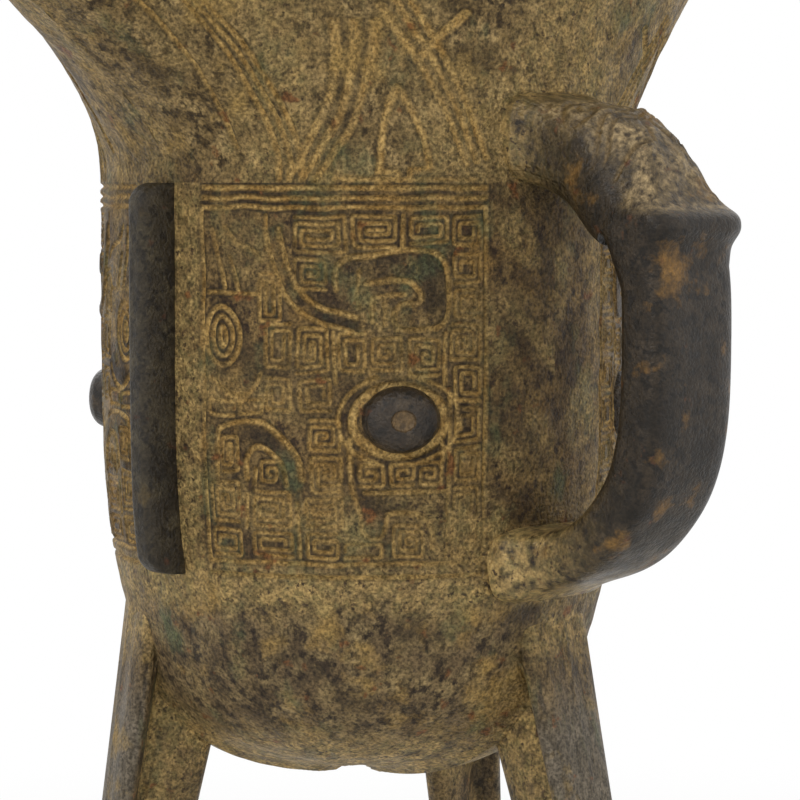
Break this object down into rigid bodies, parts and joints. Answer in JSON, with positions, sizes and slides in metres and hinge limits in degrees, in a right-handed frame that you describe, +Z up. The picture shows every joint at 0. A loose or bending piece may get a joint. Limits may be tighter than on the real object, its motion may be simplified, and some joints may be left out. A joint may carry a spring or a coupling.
{
  "type": "bronze jue vessel",
  "caption": "Cast bronze ritual wine cup on blade legs, with an open spout, a pointed tail, capped posts, a flanged taotie band and a strap handle under an animal head.",
  "frame": {"origin": "on the ground, below the centre of the whole vessel's box", "axes": "+Z up, +X towards the spout's lip, +Y towards the handle"},
  "size_m": [0.1671, 0.0951, 0.2112],
  "materials": {
    "cup_bronze": "patinated, olive-brown with ochre earth in the pits and lines",
    "relief_bronze": "dark brown patina, worn smooth on the high places",
    "handle_bronze": "brown-black patina, handled to a soft shine",
    "leg_bronze": "grey-brown patina with fine file marks",
    "chaplet_bronze": "dull brown patina"
  },
  "bodies": {
    "root": {"cup_body": "cup_bronze", "handle_strap": "handle_bronze", "handle_head": "handle_bronze", "spout_flange": "relief_bronze", "tail_flange": "relief_bronze", "rear_flange": "relief_bronze", "spout_side_eye": "relief_bronze", "tail_side_eye": "relief_bronze", "rear_spout_eye": "relief_bronze", "rear_tail_eye": "relief_bronze", "leg_under_handle": "leg_bronze", "leg_spout_side": "leg_bronze", "leg_tail_side": "leg_bronze", "front_post": "cup_bronze", "rear_post": "cup_bronze", "front_post_cap": "cup_bronze", "rear_post_cap": "cup_bronze", "wall_chaplets": "chaplet_bronze"}
  },
  "joints": []
}
